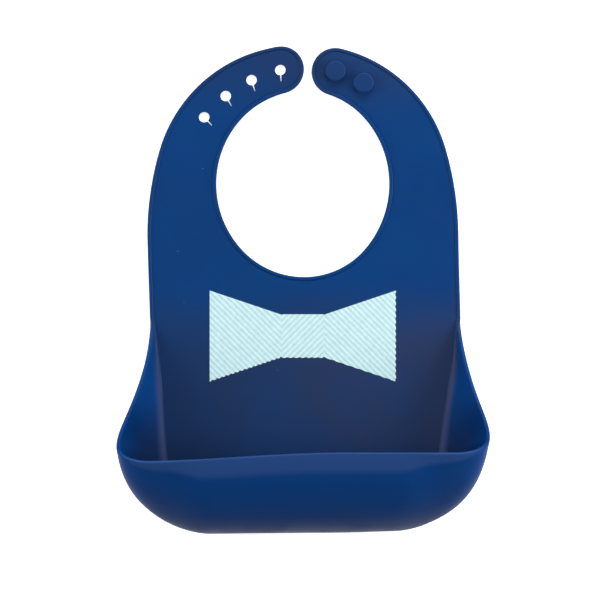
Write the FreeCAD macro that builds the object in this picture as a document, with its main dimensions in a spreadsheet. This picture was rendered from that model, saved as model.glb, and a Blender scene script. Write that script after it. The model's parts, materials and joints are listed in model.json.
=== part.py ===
"""Silicone baby bib with a crumb pocket: one moulded sheet, cut into named nodes where it flexes in use.

The bib lies on its back. +X is towards the strap with the studs, +Y towards the neck, +Z away from the
surface that it lies on. The origin is the middle of its box, on that surface.
Outlines are worked out about the neck's centre, and every node is then shifted along Y by neck_y.
"""
import FreeCAD, Part
import Sketcher
import math
import os
from FreeCAD import Placement, Rotation, Vector

DIMENSIONS = {
    # the moulded sheet and the raised bead round its free edges
    "sheet_thickness": 2.0,
    "bead_height": 0.6,
    "bead_width": 2.5,
    # the neck opening: an oval of four arcs, taller than it is wide by the elongation on each side
    "neck_half_width": 53.2,
    "neck_elongation": 4.2,
    "neck_side_ease": 3.6,
    # the straps and the rows on them, which keep their distance from the neck opening
    "strap_reach": 31.4,
    "row_reach": 24.5,
    "row_offset": 3.2,
    "row_drop": 9.6,
    "first_hole_angle": 12.0,
    "first_stud_angle": 16.5,
    "hole_pitch_angle": 13.1,
    "hole_count": 4,
    "gap_angle": 2.2,
    # the studs, and the sizing holes that they fit
    "stud_neck_diameter": 6.1,
    "stud_neck_play": 0.3,
    "stud_head_overhang": 2.85,
    "stud_head_thickness": 2.2,
    "stud_edge_radius": 0.8,
    "hole_clearance": 0.2,
    "slit_width": 0.8,
    "slit_length": 3.6,
    "slit_tilt": 8.3,
    # where the straps flex, past a hole or a stud
    "flex_past_hole_angle": 6.4,
    "flex_past_stud_angle": 8.8,
    "studs_flex_pitch_angle": 25.0,
    # shoulders and panel, out from and down from the neck opening
    "shoulder_width": 42.6,
    "shoulder_radius": 192.0,
    "shoulder_drop": 32.6,
    "fold_gap": 5.5,
    "waist_gap": 25.6,
    "waist_inset": 0.2,
    # the pocket's floor and walls
    "panel_length": 134.6,
    "floor_inset": 12.6,
    "floor_corner_radius": 26.0,
    "wall_thickness": 2.0,
    "pocket_depth": 48.0,
    "lip_inset": 30.2,
    "side_lean": 0.56,
    "corner_fullness": 3.4,
    "lip_corner_radius": 8.0,
    "front_lean": 12.0,
    "trough_reach": 37.5,
    "front_reach": 44.0,
    # the printed bow tie
    "film_thickness": 0.15,
    "tie_gap": 8.4,
    "tie_half_width": 57.3,
    "wing_end_height": 56.0,
    "wing_root_height": 26.0,
    "knot_half_width": 12.7,
    "knot_height": 26.8,
    "stripe_width": 1.33,
    "stripe_gap": 1.33,
    "stripe_angle": 45.0,
    "stripe_shortfall": 0.35,
}

SHEET_NAME = "Dims"
DEEP = 400.0  # longer and wider than the bib: the size of cutters that only have to reach past it
WALL_STATIONS = 25
RISE_POWER = 1.2  # how the side wall's height grows from the waist
RISE_SHARE = 0.94  # the share of the pocket's depth that the side edge has where it turns into the lip
SIDE_BASE_REACH = 0.36  # curve handles of the side wall, as shares of its height
SIDE_EDGE_REACH = 0.45
SIDE_EDGE_LEAN = 0.6  # how much of the side's lean is left at its edge
CORNER_EASE = 0.62
SIDE_BULGE_AT = 0.8  # where along its curve a section is widest, at the side and at the front
FRONT_BULGE_AT = 0.35
SIDE_SWELL = 0.6  # the share of the corner's fullness that the side has where it meets the corner

doc = FreeCAD.newDocument("silicone_bib")


def unit(vector):
    return Vector(vector).normalize()


def circle_crossing(centre_a, radius_a, centre_b, radius_b, side):
    """The point at radius_a from centre_a and radius_b from centre_b, left of the line a-b for side 1."""
    span = centre_b - centre_a
    distance = span.Length
    along = (radius_a**2 - radius_b**2 + distance**2) / (2 * distance)
    across = math.sqrt(radius_a**2 - along**2)
    direction = unit(span)
    normal = Vector(-direction.y, direction.x, 0)
    return centre_a + direction * along + normal * across * side


def bezier_point(poles, at):
    """The point of a four-pole curve at parameter at."""
    rest = 1 - at
    shares = (rest**3, 3 * rest**2 * at, 3 * rest * at**2, at**3)
    return sum((pole * share for pole, share in zip(poles, shares)), Vector())


def polar(radius, angle_from_top, side):
    """A point about a centre. side is -1 for the strap with holes and 1 for the strap with studs."""
    angle = math.radians(angle_from_top)
    return Vector(side * radius * math.sin(angle), radius * math.cos(angle), 0)


def write_sheet(values):
    sheet = doc.addObject("Spreadsheet::Sheet", SHEET_NAME)
    for row, (name, value) in enumerate(values.items(), start=1):
        sheet.set(f"A{row}", name)
        sheet.set(f"B{row}", str(value))
        sheet.setAlias(f"B{row}", name)
    doc.recompute()
    return sheet


def tied_sizes(d):
    """Sizes of what fits, lines up with or keeps clear of another piece, from the driving dimensions."""
    neck_height = d["neck_half_width"] + d["neck_elongation"]
    panel = d["neck_half_width"] + d["shoulder_width"]
    hole = d["stud_neck_diameter"] + 2 * d["hole_clearance"]
    floor = neck_height + d["panel_length"]
    return {
        "neck_half_height": neck_height,
        "neck_side_radius": neck_height + d["neck_side_ease"],
        "strap_outer_radius": neck_height + d["strap_reach"],
        "row_radius": neck_height + d["row_reach"],
        "hole_diameter": hole,
        "stud_head_diameter": hole + 2 * d["stud_head_overhang"],
        "stud_neck_length": d["sheet_thickness"] + d["stud_neck_play"],
        "panel_half_width": panel,
        "waist_half_width": panel - d["waist_inset"],
        "floor_half_width": panel - d["floor_inset"],
        "fold_drop": neck_height + d["fold_gap"],
        "waist_drop": neck_height + d["waist_gap"],
        "floor_drop": floor,
        "lip_drop": floor - d["lip_inset"],
        "tie_drop": neck_height + d["tie_gap"] + d["wing_end_height"] / 2,
    }


class Geometry:
    """Everything that follows from the driving dimensions, about the neck's centre."""

    def __init__(self, d):
        self.d = d
        # four-arc oval of the neck opening
        excess = d["neck_side_radius"] - d["neck_half_height"]
        self.side_centre = d["neck_side_radius"] - d["neck_half_width"]
        self.top_centre = (self.side_centre**2 - excess**2) / (2 * excess)
        self.top_radius = d["neck_half_height"] - self.top_centre
        # a strap's round end is centred on its first hole or stud and meets the oval
        self.tips = {-1: self.row_place(-1, 0), 1: self.row_place(1, 0)}
        top = Vector(0, self.top_centre, 0)
        self.end_radius = {side: (tip - top).Length - self.top_radius for side, tip in self.tips.items()}
        self.floor_corner = Vector(
            d["floor_half_width"] - d["floor_corner_radius"], d["floor_corner_radius"] - d["floor_drop"], 0
        )
        highest = max(tip.y + self.end_radius[side] for side, tip in self.tips.items())
        self.neck_y = (self.lowest_reach() - highest) / 2
        # flex lines, as angles from the top: past half the holes, past the last one, and past the studs
        past_hole, past_stud = d["flex_past_hole_angle"], d["flex_past_stud_angle"]
        self.flex_angles = {
            "holes_tip_flex_angle": self.bearing(-1, d["hole_count"] // 2 - 1) + past_hole,
            "holes_mid_flex_angle": self.bearing(-1, d["hole_count"] - 1) + past_hole,
            "studs_tip_flex_angle": self.bearing(1, 1) + past_stud,
            "studs_mid_flex_angle": self.bearing(1, 1) + past_stud + d["studs_flex_pitch_angle"],
        }

    def bearing(self, side, index):
        """Angle from the top, about the neck's centre, at which a hole or a stud lies."""
        place = self.row_place(side, index)
        return math.degrees(math.atan2(side * place.x, place.y))

    def row_place(self, side, index):
        """Centre of a sizing hole (side -1) or of a stud (side 1), counted from the strap's end."""
        d = self.d
        first = d["first_hole_angle"] if side < 0 else d["first_stud_angle"]
        centre = Vector(-side * d["row_offset"], -d["row_drop"], 0)
        return centre + polar(d["row_radius"], first + index * d["hole_pitch_angle"], side)

    def outer_centres(self, side):
        """Centres of the shoulder's arc and of the strap's outer arc, tangent to the strap's round end."""
        d = self.d
        shoulder = Vector(side * (d["panel_half_width"] - d["shoulder_radius"]), -d["shoulder_drop"], 0)
        strap = circle_crossing(
            shoulder,
            d["shoulder_radius"] - d["strap_outer_radius"],
            self.tips[side],
            d["strap_outer_radius"] - self.end_radius[side],
            -side,
        )
        return shoulder, strap

    def free_edge(self, side, inset):
        """Points and arc middles of one side's free edge, from the waist to the neck opening's bottom."""
        d = self.d
        shoulder, strap = self.outer_centres(side)
        tip = self.tips[side]
        top = Vector(0, self.top_centre, 0)
        far = Vector(-side * self.side_centre, 0, 0)
        end_radius = self.end_radius[side] - inset
        waist = Vector(side * (d["waist_half_width"] - inset), -d["waist_drop"], 0)
        side_top = Vector(side * (d["panel_half_width"] - inset), -d["shoulder_drop"], 0)
        shoulder_end = shoulder + unit(strap - shoulder) * (d["shoulder_radius"] - inset)
        strap_end = strap + unit(tip - strap) * (d["strap_outer_radius"] - inset)
        tip_inner = top + unit(tip - top) * (self.top_radius + inset)
        oval_top = far + unit(top - far) * (d["neck_side_radius"] + inset)
        oval_bottom = Vector(oval_top.x, -oval_top.y, 0)
        oval_side = Vector(side * (d["neck_half_width"] + inset), 0, 0)
        neck_bottom = Vector(0, -d["neck_half_height"] - inset, 0)
        return [
            (waist, None, side_top),
            (side_top, middle(shoulder, side_top, shoulder_end), shoulder_end),
            (shoulder_end, middle(strap, shoulder_end, strap_end), strap_end),
            (strap_end, tip - Vector(side * end_radius, 0, 0), tip_inner),
            (tip_inner, middle(top, tip_inner, oval_top), oval_top),
            (oval_top, oval_side, oval_bottom),
            (oval_bottom, middle(-top, oval_bottom, neck_bottom), neck_bottom),
        ]

    def floor_edge(self, side):
        """One side's edge of the pocket's floor, from the waist to the middle of the bottom."""
        d = self.d
        waist = Vector(side * d["waist_half_width"], -d["waist_drop"], 0)
        crease_top = Vector(side * (d["waist_half_width"] - d["bead_width"]), -d["waist_drop"], 0)
        corner = Vector(side * self.floor_corner.x, self.floor_corner.y, 0)
        corner_start = self.crease(0.0, side)
        corner_end = Vector(side * self.floor_corner.x, -d["floor_drop"], 0)
        return [
            (waist, None, crease_top),
            (crease_top, None, corner_start),
            (corner_start, middle(corner, corner_start, corner_end), corner_end),
            (corner_end, None, Vector(0, -d["floor_drop"], 0)),
        ]

    def crease_start_angle(self):
        """Angle at which the crease's straight stretch from the waist touches the floor's corner arc."""
        d = self.d
        crease_top = Vector(d["waist_half_width"] - d["bead_width"], -d["waist_drop"], 0)
        to_waist = crease_top - self.floor_corner
        bearing = math.atan2(to_waist.y, to_waist.x)
        return bearing - math.acos(d["floor_corner_radius"] / to_waist.Length)

    def crease(self, share, side):
        """The floor's corner arc, from the side for share 0 to the bottom for share 1."""
        start = self.crease_start_angle()
        angle = start + share * (-math.pi / 2 - start)
        radius = self.d["floor_corner_radius"]
        return Vector(
            side * (self.floor_corner.x + radius * math.cos(angle)),
            self.floor_corner.y + radius * math.sin(angle),
            0,
        )

    def front_poles(self):
        """Inner and outer curve poles of the pocket's front, as (y, z) pairs."""
        d = self.d
        lean = math.radians(d["front_lean"])
        floor = d["sheet_thickness"]
        lip = (-d["lip_drop"], d["pocket_depth"])
        back = d["front_reach"]
        base = -d["floor_drop"]
        inner = [
            (base, floor),
            (base - d["trough_reach"], floor),
            (lip[0] - back * math.cos(lean), lip[1] - back * math.sin(lean)),
            lip,
        ]
        wall = d["wall_thickness"]
        rise = (-wall * math.sin(lean), wall * math.cos(lean))
        outer = [
            (base, 0.0),
            (inner[1][0] - wall, 0.0),
            (inner[2][0] + rise[0], inner[2][1] + rise[1]),
            (lip[0] + rise[0], lip[1] + rise[1]),
        ]
        return inner, outer

    def lowest_reach(self):
        """How far below the neck's centre the pocket's front bulges."""
        outer = self.front_poles()[1]
        curve = Part.BezierCurve()
        curve.setPoles([Vector(y, z, 0) for y, z in outer])
        return -min(point.x for point in curve.discretize(2001))

    def rim(self, share):
        """A point of the pocket's free edge and its height, from the waist (0) to the front (1)."""
        d = self.d
        corner_y = d["lip_corner_radius"] - d["lip_drop"]
        split = 0.5
        if share <= split:
            along = share / split
            y = -d["waist_drop"] + along * (corner_y + d["waist_drop"])
            height = self.edge_height(along)
            return Vector(self.crease_x(y) + d["side_lean"] * (height - d["sheet_thickness"]), y, height)
        along = (share - split) / (1 - split)
        start_height = self.edge_height(1.0)
        start_x = self.crease_x(corner_y) + d["side_lean"] * (start_height - d["sheet_thickness"])
        radius = d["lip_corner_radius"]
        turn = radius * math.pi / 2
        straight = start_x - radius - self.floor_corner.x
        length = (turn + straight) * (CORNER_EASE * along + (1 - CORNER_EASE) * along**2)
        risen = min(1.0, 2 * length / (turn + straight))
        height = start_height + (d["pocket_depth"] - start_height) * risen
        if length < turn:
            angle = length / radius
            return Vector(
                start_x - radius + radius * math.cos(angle), corner_y - radius * math.sin(angle), height
            )
        return Vector(start_x - radius - (length - turn), -d["lip_drop"], height)

    def edge_height(self, along):
        d = self.d
        first = d["sheet_thickness"] + d["bead_height"]
        return first + (RISE_SHARE * d["pocket_depth"] - first) * along**RISE_POWER

    def crease_x(self, y):
        """Half width of the floor at y, above its corner."""
        d = self.d
        start = self.crease(0.0, 1)
        share = (-d["waist_drop"] - y) / (-d["waist_drop"] - start.y)
        top = d["waist_half_width"] - d["bead_width"]
        return top + share * (start.x - top)

    def wall_section(self, share):
        """Inner and outer poles of the side wall's curve at one station, for the right-hand (+X) side."""
        d = self.d
        floor = Vector(0, 0, d["sheet_thickness"])
        edge = self.rim(share)
        early = min(1.0, 5 * share)
        wall = d["wall_thickness"] + (d["bead_width"] - d["wall_thickness"]) * (1 - early)
        if share <= 0.5:
            start = self.crease(0.0, 1)
            y = -d["waist_drop"] + 2 * share * (start.y + d["waist_drop"])
            base = Vector(self.crease_x(y), y, 0)
            outward = Vector(1, 0, 0)
            base_reach, inner = self.side_poles(base + floor, edge, early)
            inner[2] = inner[2] + outward * self.side_push(2 * share)
        else:
            turn = 2 * share - 1
            eased = turn * turn * (3 - 2 * turn)
            base = self.crease(turn, 1)
            outward = unit(base - Vector(self.floor_corner.x, self.floor_corner.y, 0))
            side_reach, side = self.side_poles(self.crease(0.0, 1) + floor, self.rim(0.5), 1.0)
            side[2] = side[2] + Vector(self.side_push(1.0), 0, 0)
            base_reach = side_reach * (1 - eased) + d["trough_reach"] * eased
            near = base + floor
            first = near + outward * base_reach
            at = SIDE_BULGE_AT + (FRONT_BULGE_AT - SIDE_BULGE_AT) * eased
            fixed = bezier_point([near, first, Vector(), edge], at)
            second = (self.bulge(side, turn, eased) - fixed) * (1 / (3 * (1 - at) * at**2))
            inner = [near, first, second, edge]
        way = unit(inner[3] - inner[2])
        across = unit(outward - way * outward.dot(way))
        outer = [
            base,
            base + outward * (base_reach + wall),
            inner[2] + across * wall,
            edge + across * wall,
        ]
        return inner, outer

    def side_poles(self, near, edge, early):
        """Reach of the first curve handle, and the poles, of a section between waist and corner."""
        lean = math.atan(self.d["side_lean"])
        way = unit(Vector(SIDE_EDGE_LEAN * math.sin(lean) * early, 0, 1))
        rise = edge.z - self.d["sheet_thickness"]
        reach = SIDE_BASE_REACH * rise
        return reach, [near, near + Vector(reach, 0, 0), edge - way * SIDE_EDGE_REACH * rise, edge]

    def fullness(self, turn):
        """How far the corner's wall stands out beyond an ellipse from the side to the front."""
        fade = max(0.0, min(1.0, (turn - 0.1) / 0.65))
        return self.d["corner_fullness"] * (1 - fade * fade * (3 - 2 * fade))

    def side_push(self, along):
        """How far a curve pole moves out where the side's wall swells towards the corner."""
        late = max(0.0, min(1.0, (along - 0.7) / 0.3))
        at = SIDE_BULGE_AT
        return SIDE_SWELL * self.fullness(0.0) * late * late * (3 - 2 * late) / (3 * (1 - at) * at**2)

    def bulge(self, side_poles, turn, eased):
        """The widest point of a section in the corner."""
        poles = [Vector(self.floor_corner.x, y, z) for y, z in self.front_poles()[0]]
        front = bezier_point(poles, FRONT_BULGE_AT)
        side = bezier_point(side_poles, SIDE_BULGE_AT)
        angle = turn * math.pi / 2
        already = SIDE_SWELL * self.fullness(0.0)
        swell = self.fullness(turn) - already * math.cos(angle)
        swell -= (self.fullness(0.0) - already) * (1 - turn) ** 8
        return Vector(
            front.x + (side.x - front.x + swell) * math.cos(angle),
            side.y + (front.y - side.y - swell) * math.sin(angle),
            side.z + (front.z - side.z) * eased,
        )


def middle(centre, start, end):
    """The middle of the shorter arc from start to end about centre."""
    radius = (start - centre).Length
    return centre + unit((start - centre) + (end - centre)) * radius


values = {**DIMENSIONS, **tied_sizes(DIMENSIONS)}
shape_of = Geometry(values)
values.update(shape_of.flex_angles)
values["neck_y"] = shape_of.neck_y
values["holes_end_radius"] = shape_of.end_radius[-1]
values["studs_end_radius"] = shape_of.end_radius[1]
values["neck_top_radius"] = shape_of.top_radius
sheet = write_sheet(values)


def cell(name):
    return sheet.get(name)


def bind(obj, **expressions):
    """Ties an object's properties to cells. In an expression a cell is written [name]."""
    for prop, expression in expressions.items():
        expression = expression.replace("[", f"{SHEET_NAME}.").replace("]", "")
        obj.setExpression(prop.replace("__", "."), expression)
    return obj


def add(kind, name, **expressions):
    return bind(doc.addObject(kind, name), **expressions)


def plane(body, role):
    return next(f for f in body.Origin.OriginFeatures if f.Role == role)


def new_body(name):
    """A body about the neck's centre, shifted to the bib's own frame."""
    body = doc.addObject("PartDesign::Body", name)
    body.Placement = Placement(Vector(0, cell("neck_y"), 0), Rotation())
    bind(body, Placement__Base__y="[neck_y]")
    return body


def new_sketch(body, name, role="XY_Plane", **offsets):
    sketch = body.newObject("Sketcher::SketchObject", name)
    sketch.AttachmentSupport = (plane(body, role), [""])
    sketch.MapMode = "FlatFace"
    bind(sketch, **{f"AttachmentOffset__Base__{axis}": value for axis, value in offsets.items()})
    return sketch


def draw_loop(sketch, steps, radii=()):
    """Draws steps, each (start, arc middle or None, end), as one closed loop.

    radii ties an arc's radius to cells.
    """
    first = sketch.GeometryCount
    for start, through, end in steps:
        if through is None:
            sketch.addGeometry(Part.LineSegment(start, end))
        else:
            sketch.addGeometry(Part.Arc(start, through, end))
    for index in range(len(steps)):
        here, following = first + index, first + (index + 1) % len(steps)
        join(sketch, here, following, steps[index][2])
    for index, expression in radii:
        number = sketch.addConstraint(
            Sketcher.Constraint("Radius", first + index, sketch.Geometry[first + index].Radius)
        )
        bind(sketch, **{f"Constraints[{number}]": expression})


def join(sketch, one, other, point):
    """Makes the ends of two edges that lie at a point coincide."""
    ends = []
    for index in (one, other):
        start = sketch.getPoint(index, 1)
        ends.append(1 if (start - point).Length < (sketch.getPoint(index, 2) - point).Length else 2)
    sketch.addConstraint(Sketcher.Constraint("Coincident", one, ends[0], other, ends[1]))


def reversed_steps(steps):
    return [(end, through, start) for start, through, end in reversed(steps)]


def moulded_sheet():
    """The whole flat moulding: straps, shoulders, panel and pocket floor, with bead and sizing holes."""
    body = new_body("moulded_sheet")
    top = "[sheet_thickness] + [bead_height]"
    outline = new_sketch(body, "outline")
    left = reversed_steps(shape_of.floor_edge(-1)) + shape_of.free_edge(-1, 0)
    right = reversed_steps(shape_of.free_edge(1, 0)) + shape_of.floor_edge(1)
    arcs = ["floor_corner_radius", "shoulder_radius", "strap_outer_radius", "holes_end_radius"]
    arcs += ["neck_top_radius", "neck_side_radius", "neck_top_radius"]
    places = [1, 5, 6, 7, 8, 9, 10]
    last = len(left) + len(right) - 1
    radii = [(place, f"[{size}]") for place, size in zip(places, arcs)]
    arcs[3] = "studs_end_radius"
    radii += [(last - place, f"[{size}]") for place, size in zip(places, arcs)]
    draw_loop(outline, left + right, radii)
    pad = body.newObject("PartDesign::Pad", "blank")
    pad.Profile = outline
    bind(pad, Length=top)
    doc.recompute()
    recess = new_sketch(body, "recess", z=top)
    inset = cell("bead_width")
    inside_left = shape_of.free_edge(-1, inset)
    inside_right = reversed_steps(shape_of.free_edge(1, inset))
    waist_left, waist_right = inside_left[0][0], inside_right[-1][2]
    corners = [
        waist_right,
        Vector(DEEP, waist_right.y, 0),
        Vector(DEEP, -DEEP, 0),
        Vector(-DEEP, -DEEP, 0),
        Vector(-DEEP, waist_left.y, 0),
        waist_left,
    ]
    surround = [(a, None, b) for a, b in zip(corners, corners[1:])]
    draw_loop(recess, inside_left + inside_right + surround)
    pocket = body.newObject("PartDesign::Pocket", "sunk_face")
    pocket.Profile = recess
    bind(pocket, Length="[bead_height]")
    doc.recompute()
    hole = new_sketch(body, "sizing_hole", x="[row_offset]", y="-[row_drop]", z=top)
    draw_loop(hole, keyhole(), [(0, "[hole_diameter] / 2")])
    cut = body.newObject("PartDesign::Pocket", "first_hole")
    cut.Profile = hole
    cut.Type = "ThroughAll"
    doc.recompute()
    row = body.newObject("PartDesign::PolarPattern", "sizing_holes")
    row.Originals = [cut]
    row.Axis = (hole, ["N_Axis"])
    bind(row, Angle="[hole_pitch_angle] * ([hole_count] - 1)", Occurrences="[hole_count]")
    body.Tip = row
    doc.recompute()
    return body


def keyhole():
    """The sizing hole nearest the strap's end, about the row's centre, with the slit that a stud opens."""
    centre = polar(cell("row_radius"), cell("first_hole_angle"), -1)
    radius = cell("hole_diameter") / 2
    half = cell("slit_width") / 2
    inward = math.atan2(-centre.y, -centre.x) - math.radians(cell("slit_tilt"))
    along = Vector(math.cos(inward), math.sin(inward), 0)
    across = Vector(-along.y, along.x, 0)
    root = math.sqrt(radius**2 - half**2)
    near = centre + along * root
    far = centre + along * (radius + cell("slit_length"))
    return [
        (near + across * half, centre - along * radius, near - across * half),
        (near - across * half, None, far - across * half),
        (far - across * half, None, far + across * half),
        (far + across * half, None, near + across * half),
    ]


def region(name, base, tool):
    """A node: the part of base that lies inside tool."""
    node = doc.addObject("Part::Common", name)
    node.Base = base
    node.Tool = tool
    node.Label = name
    return node


def band(name, low, high):
    """A box across the whole bib from low to high, measured up from the neck's centre, as expressions."""
    box = add("Part::Box", name)
    box.Length = 2 * DEEP
    box.Height = DEEP
    bind(box, Width=f"({high}) - ({low})", Placement__Base__y=f"[neck_y] + ({low})")
    box.Placement.Base = Vector(-DEEP, 0, -DEEP / 2)
    bind(box, Placement__Base__y=f"[neck_y] + ({low})")
    return box


def sector(name, start, end):
    """A wedge about the neck's centre between two angles, given as expressions in degrees from +X."""
    wedge = add("Part::Cylinder", name)
    wedge.Radius = DEEP
    wedge.Height = DEEP
    wedge.Placement = Placement(Vector(0, 0, -DEEP / 2), Rotation(Vector(0, 0, 1), 0))
    bind(wedge, Angle=f"({end}) - ({start})", Placement__Base__y="[neck_y]")
    bind(wedge, Placement__Rotation__Angle=start)
    return wedge


def strap_nodes(whole):
    """Three nodes a strap, from its end to the shoulder."""
    gap = "90 - [gap_angle]"
    stations = {
        "holes_strap": [gap, "90 + [holes_tip_flex_angle]", "90 + [holes_mid_flex_angle]", "180"],
        "studs_strap": [gap, "90 - [studs_tip_flex_angle]", "90 - [studs_mid_flex_angle]", "0"],
    }
    nodes = []
    for strap, angles in stations.items():
        for place, one, other in zip(("tip", "middle", "root"), angles, angles[1:]):
            start, end = (one, other) if strap == "holes_strap" else (other, one)
            wedge = sector(f"{strap}_{place}_wedge", start, end)
            nodes.append(region(f"{strap}_{place}", whole, wedge))
    return nodes


def studs():
    """The two mushroom studs, each a turned shape that stands on the strap."""
    nodes = []
    for index, name in enumerate(("stud_outer", "stud_inner")):
        body = doc.addObject("PartDesign::Body", name)
        body.Label = name
        body.Placement = Placement(Vector(1, 1, 1), Rotation())
        angle = f"([first_stud_angle] + {index} * [hole_pitch_angle]) * 1 deg"
        bind(
            body,
            Placement__Base__x=f"[row_radius] * sin({angle}) - [row_offset]",
            Placement__Base__y=f"[neck_y] + [row_radius] * cos({angle}) - [row_drop]",
            Placement__Base__z="[sheet_thickness]",
        )
        profile = new_sketch(body, f"{name}_profile", "XZ_Plane")
        neck, head = cell("stud_neck_diameter") / 2, cell("stud_head_diameter") / 2
        seat = cell("stud_neck_length")
        top = seat + cell("stud_head_thickness")
        corners = [(0, 0), (neck, 0), (neck, seat), (head, seat), (head, top), (0, top)]
        points = [Vector(x, z, 0) for x, z in corners]
        draw_loop(profile, [(a, None, b) for a, b in zip(points, points[1:] + points[:1])])
        turned = body.newObject("PartDesign::Revolution", f"{name}_turned")
        turned.Profile = profile
        turned.ReferenceAxis = (profile, ["V_Axis"])
        turned.Angle = 360
        doc.recompute()
        edges = [
            f"Edge{number}"
            for number, edge in enumerate(turned.Shape.Edges, start=1)
            if isinstance(edge.Curve, Part.Circle) and abs(edge.Curve.Radius - head) < 1e-6
        ]
        rounded = body.newObject("PartDesign::Fillet", f"{name}_rounded")
        rounded.Base = (turned, edges)
        bind(rounded, Radius="min([stud_edge_radius]; 0.45 * [stud_head_thickness])")
        body.Tip = rounded
        nodes.append(body)
    return nodes


def pocket_front():
    """The pocket's front: trough and front wall of one section, between the floor's two corners."""
    body = new_body("pocket_front")
    body.Label = "pocket_front"
    sketch = new_sketch(body, "front_profile", "YZ_Plane")
    inner, outer = shape_of.front_poles()
    ends = []
    for poles in (inner, outer):
        curve = Part.BSplineCurve()
        points = [Vector(y, z, 0) for y, z in poles]
        curve.buildFromPolesMultsKnots(points, [4, 4], [0.0, 1.0], False, 3)
        sketch.addGeometry(curve)
        ends.append((points[0], points[-1]))
    sketch.addGeometry(Part.LineSegment(ends[0][1], ends[1][1]))
    sketch.addGeometry(Part.LineSegment(ends[1][0], ends[0][0]))
    corners = [(0, 2, ends[0][1]), (2, 1, ends[1][1]), (1, 3, ends[1][0]), (3, 0, ends[0][0])]
    for one, other, point in corners:
        join(sketch, one, other, point)
    thickness = sketch.addConstraint(Sketcher.Constraint("DistanceY", 3, 1, 3, 2, cell("sheet_thickness")))
    bind(sketch, **{f"Constraints[{thickness}]": "[sheet_thickness]"})
    pad = body.newObject("PartDesign::Pad", "front_length")
    pad.Profile = sketch
    pad.Midplane = True
    bind(pad, Length="2 * ([floor_half_width] - [floor_corner_radius])")
    return body


def section_wire(inner, outer, side):
    """One closed section of the side wall: inner curve, free edge, outer curve and crease."""
    inner = [Vector(side * pole.x, pole.y, pole.z) for pole in inner]
    outer = [Vector(side * pole.x, pole.y, pole.z) for pole in outer]
    edges = []
    for poles in (inner, outer[::-1]):
        curve = Part.BezierCurve()
        curve.setPoles(poles)
        edges.append(curve.toShape())
    edges.insert(1, Part.makeLine(inner[-1], outer[-1]))
    edges.append(Part.makeLine(outer[0], inner[0]))
    return Part.Wire(edges)


def pocket_side(name, side):
    """One side of the pocket with its corner: a wall lofted through sections from waist to front."""
    shares = [index / (WALL_STATIONS - 1) for index in range(WALL_STATIONS)]
    wires = [section_wire(*shape_of.wall_section(share), side) for share in shares]
    solid = Part.makeLoft(wires, True, False)
    node = doc.addObject("Part::Feature", name)
    node.Label = name
    node.Shape = solid
    node.Placement = Placement(Vector(0, cell("neck_y"), 0), Rotation())
    bind(node, Placement__Base__y="[neck_y]")
    return node


def film(name, points, shift=0.0):
    """A printed patch on the panel: a polygon of ink, shifted left and up for the second pass."""
    body = new_body(name)
    bind(body, Placement__Base__z="[sheet_thickness]")
    sketch = new_sketch(body, f"{name}_outline")
    moved = [Vector(x - shift, y - cell("tie_drop") + shift, 0) for x, y in points]
    draw_loop(sketch, [(a, None, b) for a, b in zip(moved, moved[1:] + moved[:1])])
    pad = body.newObject("PartDesign::Pad", f"{name}_ink")
    pad.Profile = sketch
    bind(pad, Length="[film_thickness]")
    return body


def stripes(name, turn, half_span):
    """Parallel bars of ink at an angle, enough to cover half_span each way from the tie's middle."""
    pitch = cell("stripe_width") + cell("stripe_gap")
    rotation = Rotation(Vector(0, 0, 1), turn)
    along, across = rotation.multVec(Vector(1, 0, 0)), rotation.multVec(Vector(0, 1, 0))
    count = math.ceil(half_span / pitch)
    bars = []
    for index in range(-count, count + 1):
        bar = add("Part::Box", f"{name}_bar", Width="[stripe_width]", Height="[film_thickness]")
        bar.Length = DEEP
        start = Vector(0, cell("neck_y") - cell("tie_drop"), cell("sheet_thickness"))
        start = start - along * (DEEP / 2) + across * (index * pitch - cell("stripe_width") / 2)
        bar.Placement = Placement(start, rotation)
        bars.append(bar)
    group = doc.addObject("Part::Compound", name)
    group.Links = bars
    return group


def bow_tie():
    """Two passes of ink: light patches with gaps, and the stripes that fill the gaps."""
    wide, narrow = cell("tie_half_width"), cell("knot_half_width")
    end, root, knot = cell("wing_end_height") / 2, cell("wing_root_height") / 2, cell("knot_height") / 2
    patches = {
        "left_wing": [(-wide, -end), (-narrow, -root), (-narrow, root), (-wide, end)],
        "knot": [(-narrow, -knot), (narrow, -knot), (narrow, knot), (-narrow, knot)],
        "right_wing": [(narrow, -root), (wide, -end), (wide, end), (narrow, root)],
    }
    turn = cell("stripe_angle")
    bars = {
        "wings": stripes("wing_stripes", -turn, wide + end),
        "knot": stripes("knot_stripes", turn, narrow + knot),
    }
    right_half = [(narrow, -knot), (narrow, -root), (wide, -end), (wide, end), (narrow, root), (narrow, knot)]
    outline = right_half + [(-x, -y) for x, y in right_half]
    shifted = film("second_pass", outline, cell("stripe_shortfall"))
    nodes, filled = [], []
    for place, points in patches.items():
        bar = bars["knot" if place == "knot" else "wings"]
        patch = film(f"{place}_patch", points)
        light = doc.addObject("Part::Cut", f"bow_tie_{place}")
        light.Base, light.Tool = patch, bar
        light.Label = f"bow_tie_{place}"
        nodes.append(light)
        both = region(f"{place}_both_passes", patch, shifted)
        filled.append(region(f"{place}_stripes", both, bar))
    group = doc.addObject("Part::Compound", "bow_tie_stripes")
    group.Label = "bow_tie_stripes"
    group.Links = filled
    return nodes + [group]


def build():
    whole = moulded_sheet()
    nodes = strap_nodes(whole)
    nodes.append(region("neck_yoke", whole, band("yoke_band", "-[fold_drop]", "0")))
    nodes.append(region("bib_panel", whole, band("panel_band", f"-{DEEP}", "-[fold_drop]")))
    nodes += studs()
    nodes.append(pocket_front())
    nodes.append(pocket_side("pocket_left_side", -1))
    nodes.append(pocket_side("pocket_right_side", 1))
    nodes += bow_tie()
    doc.recompute()
    return nodes


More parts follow.
